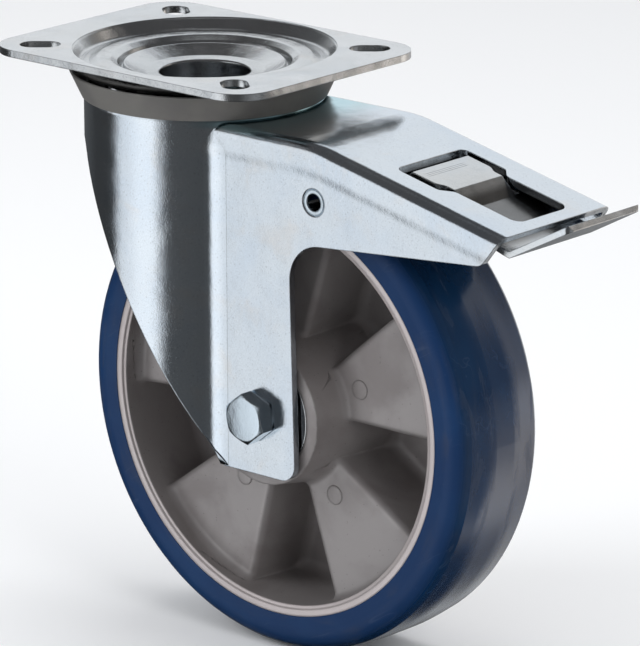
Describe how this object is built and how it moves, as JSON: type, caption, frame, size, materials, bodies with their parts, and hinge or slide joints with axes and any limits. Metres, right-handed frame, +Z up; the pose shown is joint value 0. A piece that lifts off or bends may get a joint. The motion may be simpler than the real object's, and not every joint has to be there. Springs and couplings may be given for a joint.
{
  "type": "swivel castor",
  "caption": "Plate swivel castor with a pressed fork, blue polyurethane tyre on a die-cast centre, and a pedal that locks wheel and swivel.",
  "frame": {"origin": "centre of the top plate's upper face, on the swivel axis", "axes": "+Z up out of the plate, +X to the trailing side with the pedal, +Y along the wheel's axle"},
  "size_m": [0.2744, 0.11, 0.235],
  "materials": {
    "zinc_plate": "bright zinc plating over pressed steel sheet",
    "ball_steel": "polished bearing steel",
    "grey_plastic": "matt grey moulded plastic",
    "zinc_fork": "bright zinc plating over pressed steel sheet",
    "zinc_lever": "brushed zinc plating",
    "dark_steel": "dull plain steel",
    "zinc_small": "zinc plating on small parts",
    "cast_aluminium": "as-cast aluminium, with machined rim faces",
    "blue_polyurethane": "glossy dark blue polyurethane",
    "black_seal": "matt black rubber seal"
  },
  "bodies": {
    "plate": {"top_plate": "zinc_plate", "king_pin": "zinc_plate", "lock_ring": "zinc_plate"},
    "fork": {"fork": "zinc_fork", "dust_seal": "grey_plastic", "upper_balls": "ball_steel", "lower_balls": "ball_steel", "brake_spring": "dark_steel", "pivot_rivets": "zinc_small", "axle_tube": "zinc_small", "axle_washers": "zinc_small", "spacer_sleeve": "zinc_small", "axle_bolt": "zinc_small", "lock_nut": "zinc_small", "bearing_inner_rings": "ball_steel", "bearing_balls_near": "ball_steel", "bearing_balls_far": "ball_steel"},
    "lever": {"brake_lever": "zinc_lever", "brake_shoe": "dark_steel", "shoe_rivets": "zinc_small"},
    "wheel": {"wheel_centre": "cast_aluminium", "tyre": "blue_polyurethane", "bearing_outer_rings": "ball_steel", "bearing_seals": "black_seal"}
  },
  "joints": [
    {"name": "swivel", "type": "hinge", "parent": "plate", "child": "fork", "pos_m": [0, 0, 0], "axis": [0, 0, 1], "continuous": true},
    {"name": "wheel_spin", "type": "hinge", "parent": "fork", "child": "wheel", "pos_m": [0.0565, 0, -0.135], "axis": [0, 1, 0], "continuous": true},
    {"name": "brake_pedal", "type": "hinge", "parent": "fork", "child": "lever", "pos_m": [0.0874, 0, -0.0427], "axis": [0, 1, 0], "range_deg": [0, 7]}
  ]
}
